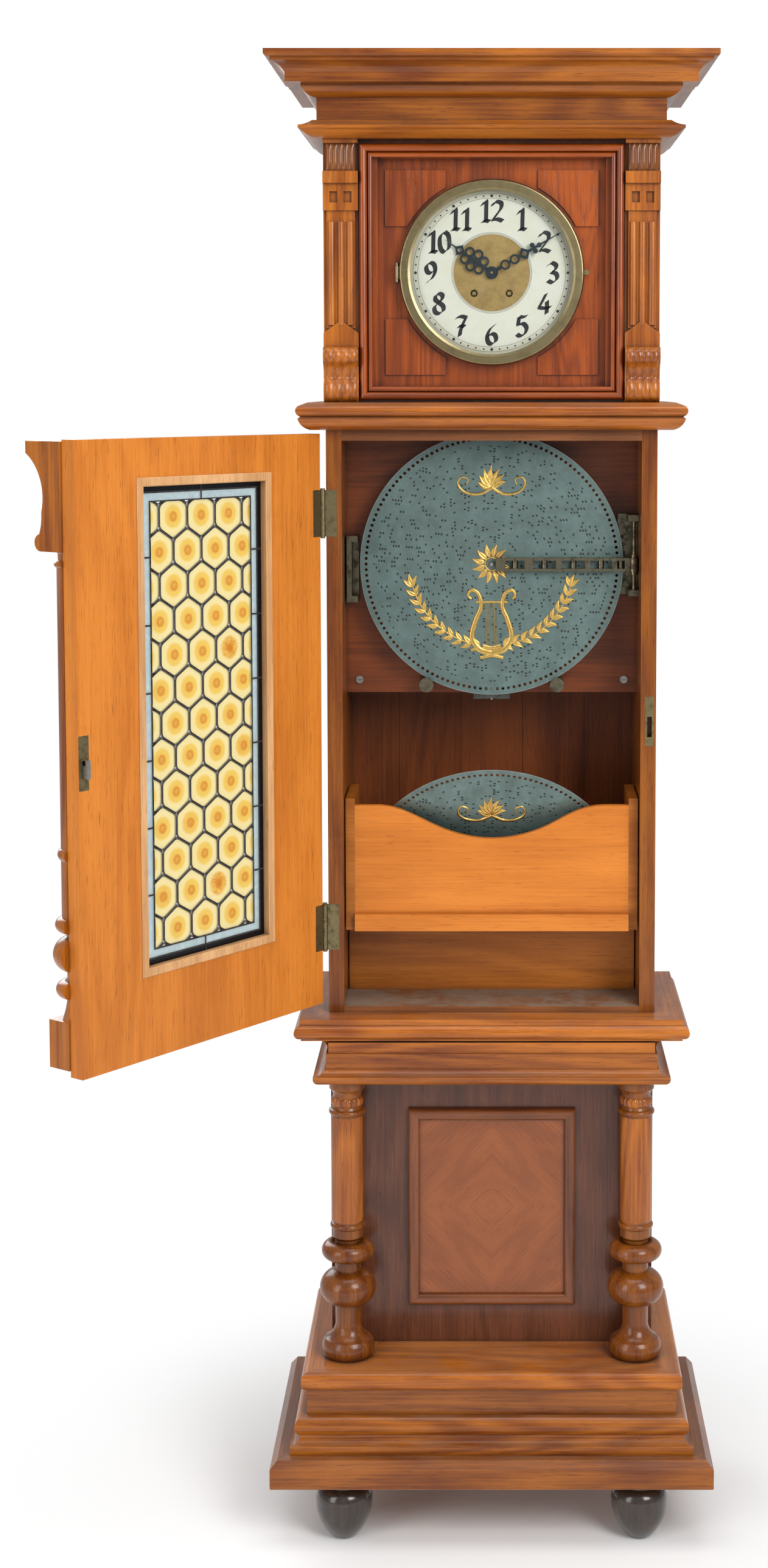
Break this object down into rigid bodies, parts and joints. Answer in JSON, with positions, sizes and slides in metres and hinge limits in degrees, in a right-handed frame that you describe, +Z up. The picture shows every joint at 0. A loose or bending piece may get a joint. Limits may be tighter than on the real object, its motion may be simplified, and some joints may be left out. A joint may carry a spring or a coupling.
{
  "type": "longcase clock",
  "caption": "Tall walnut floor clock with a square hood, a leaded glass trunk door that opens, and a disc musical box above a disc rack in the trunk.",
  "frame": {"origin": "on the floor, midway between the four feet", "axes": "+Z up, the front faces -Y, +X to the right seen from the front"},
  "size_m": [0.8216, 0.5598, 1.903],
  "materials": {
    "walnut": "french polish",
    "dark_board": "stained and polished",
    "burr_veneer": "matched veneer, polished",
    "black_feet": "ebonised",
    "rough_wood": "bare, planed",
    "rack_wood": "stained",
    "bead_wood": "varnished",
    "dial_board_wood": "polished",
    "enamel": "fired enamel, cream",
    "dial_brass": "lacquered",
    "dial_glass": "polished",
    "blued_steel": "blued",
    "movement_brass": "lacquered",
    "old_steel": "aged",
    "iron_plate": "painted dark",
    "nickel": "worn nickel plate",
    "zinc_disc": "tarnished zinc",
    "old_brass": "tarnished",
    "lead": "lead came",
    "amber_glass": "mouth blown",
    "border_glass": "cathedral glass"
  },
  "bodies": {
    "case": {"architrave_moulding": "walnut", "back_boards": "rough_wood", "bar_hinge_bracket": "nickel", "base_slab": "walnut", "bedplate": "iron_plate", "board_screws": "old_steel", "bun_feet": "black_feet", "case_door_fittings": "old_brass", "case_shelves": "rough_wood", "case_sides": "walnut", "chapter_ring": "enamel", "crown_cornice": "walnut", "dial_board": "dial_board_wood", "dial_brasswork": "dial_brass", "dial_frame_moulding": "walnut", "disc_guides": "nickel", "disc_spindle": "old_steel", "gong_rods": "old_steel", "hood_base_moulding": "walnut", "hood_frieze": "walnut", "hood_front_board": "walnut", "hood_pilasters": "walnut", "movement_frame": "movement_brass", "music_board": "dark_board", "pedestal_columns": "walnut", "pedestal_front_board": "dark_board", "pedestal_panel_frame": "walnut", "pedestal_sides": "walnut", "pedestal_veneer_panel": "burr_veneer", "plinth_box": "walnut", "plinth_moulding": "walnut", "plinth_top": "walnut", "rack_frame": "rack_wood", "rack_front_board": "rack_wood", "spring_motor": "iron_plate", "steel_combs": "old_steel", "waist_frieze": "walnut", "waist_moulding": "walnut"},
    "door": {"door_frame": "walnut", "door_bead": "bead_wood", "glass_leading": "lead", "glass_roundels": "amber_glass", "border_glass": "border_glass", "door_columns": "walnut", "door_hinge_leaves": "old_brass", "door_lock": "old_brass"},
    "lock_bolt": {"lock_bolt": "old_steel"},
    "bezel_door": {"bezel": "dial_brass", "bezel_glass": "dial_glass"},
    "minute_hand": {"minute_hand": "blued_steel"},
    "hour_hand": {"hour_hand": "blued_steel"},
    "motion_wheel": {"motion_wheel": "movement_brass"},
    "pendulum": {"pendulum": "movement_brass"},
    "time_barrel": {"time_barrel": "movement_brass"},
    "strike_barrel": {"strike_barrel": "movement_brass"},
    "music_disc": {"music_disc": "zinc_disc"},
    "drive_sprocket": {"drive_sprocket": "old_steel"},
    "star_wheels": {"star_wheels": "old_steel"},
    "pressure_bar": {"pressure_bar": "nickel"},
    "spare_disc": {"spare_disc": "zinc_disc"}
  },
  "joints": [
    {"name": "door_hinge", "type": "hinge", "parent": "case", "child": "door", "pos_m": [-0.217, -0.05025, 1.0575], "axis": [0, 0, 1], "range_deg": [-28, 126.7]},
    {"name": "bolt_lift", "type": "slide", "parent": "door", "child": "lock_bolt", "axis": [0, 0, 1], "range_m": [0, 0.005]},
    {"name": "bezel_hinge", "type": "hinge", "parent": "case", "child": "bezel_door", "pos_m": [-0.121, -0.046, 1.634], "axis": [0, 0, -1], "range_deg": [0, 100]},
    {"name": "minute_hand_turn", "type": "hinge", "parent": "case", "child": "minute_hand", "pos_m": [0, -0.04, 1.634], "axis": [0, 1, 0], "continuous": true},
    {"name": "hour_hand_turn", "type": "hinge", "parent": "case", "child": "hour_hand", "pos_m": [0, -0.038, 1.634], "axis": [0, 1, 0], "continuous": true},
    {"name": "motion_wheel_turn", "type": "hinge", "parent": "case", "child": "motion_wheel", "pos_m": [0, -0.01, 1.61], "axis": [0, 1, 0], "continuous": true},
    {"name": "pendulum_swing", "type": "hinge", "parent": "case", "child": "pendulum", "pos_m": [0, 0.0585, 1.669], "axis": [0, 1, 0], "range_deg": [-4, 4]},
    {"name": "time_barrel_turn", "type": "hinge", "parent": "case", "child": "time_barrel", "pos_m": [-0.0225, 0.02, 1.608], "axis": [0, 1, 0], "continuous": true},
    {"name": "strike_barrel_turn", "type": "hinge", "parent": "case", "child": "strike_barrel", "pos_m": [0.0225, 0.02, 1.608], "axis": [0, 1, 0], "continuous": true},
    {"name": "disc_turn", "type": "hinge", "parent": "case", "child": "music_disc", "pos_m": [0, 0.0105, 1.257], "axis": [0, 1, 0], "continuous": true},
    {"name": "sprocket_turn", "type": "hinge", "parent": "case", "child": "drive_sprocket", "pos_m": [0, 0.02463, 1.0922], "axis": [0, 0, 1], "continuous": true},
    {"name": "star_wheels_turn", "type": "hinge", "parent": "case", "child": "star_wheels", "pos_m": [0.0748, 0.022, 1.257], "axis": [1, 0, 0], "continuous": true},
    {"name": "pressure_bar_hinge", "type": "hinge", "parent": "case", "child": "pressure_bar", "pos_m": [0.186, 0, 1.257], "axis": [0, 0, -1], "range_deg": [-90, 0]},
    {"name": "spare_disc_lift", "type": "slide", "parent": "case", "child": "spare_disc", "axis": [0, 0.4384, -0.8988], "range_m": [-0.15, 0]}
  ],
  "couplings": [
    {"joint": "hour_hand_turn", "follows": "minute_hand_turn", "ratio": 0.083333},
    {"joint": "motion_wheel_turn", "follows": "minute_hand_turn", "ratio": -0.33333},
    {"joint": "sprocket_turn", "follows": "disc_turn", "ratio": -11.667}
  ]
}
